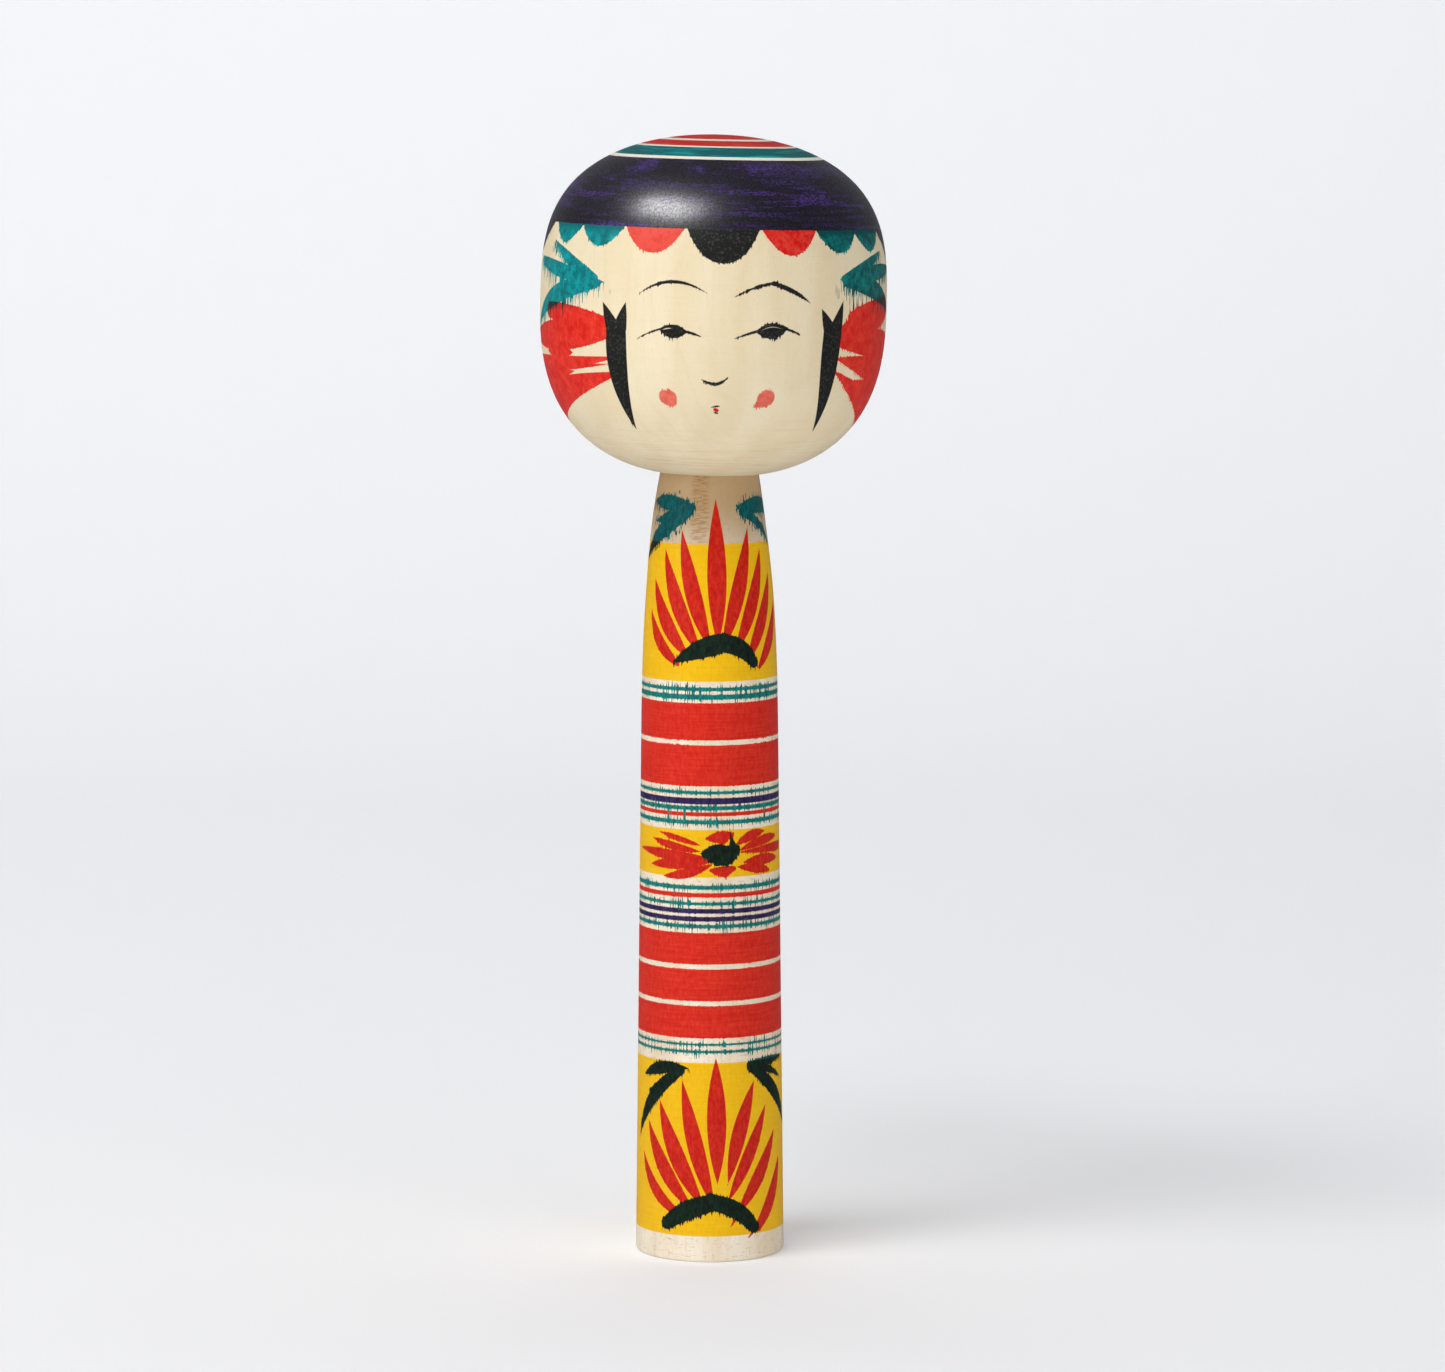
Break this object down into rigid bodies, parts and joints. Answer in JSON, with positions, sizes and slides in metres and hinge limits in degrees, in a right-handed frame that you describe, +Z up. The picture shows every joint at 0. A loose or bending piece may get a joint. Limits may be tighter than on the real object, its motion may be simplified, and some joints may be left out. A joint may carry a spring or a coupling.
{
  "type": "kokeshi doll",
  "caption": "Turned wooden doll with a painted trunk and a large round head that turns on a peg in the neck.",
  "frame": {"origin": "centre of the flat underside of the foot", "axes": "+Z up along the trunk's axis, -Y the way the face looks, +X the doll's left side, towards which the head leans slightly"},
  "size_m": [0.0737, 0.0736, 0.24],
  "materials": {
    "trunk_wood": "dyed in bands and brushed flowers, then waxed to a satin sheen",
    "head_wood": "pale wood with a dyed cap and a brushed face, waxed to a satin sheen"
  },
  "bodies": {
    "trunk": {"trunk": "trunk_wood"},
    "head": {"head": "head_wood"}
  },
  "joints": [
    {"name": "head_turn", "type": "hinge", "parent": "trunk", "child": "head", "pos_m": [0, 0, 0.1684], "axis": [0.0227, 0, 0.9997], "continuous": true}
  ]
}
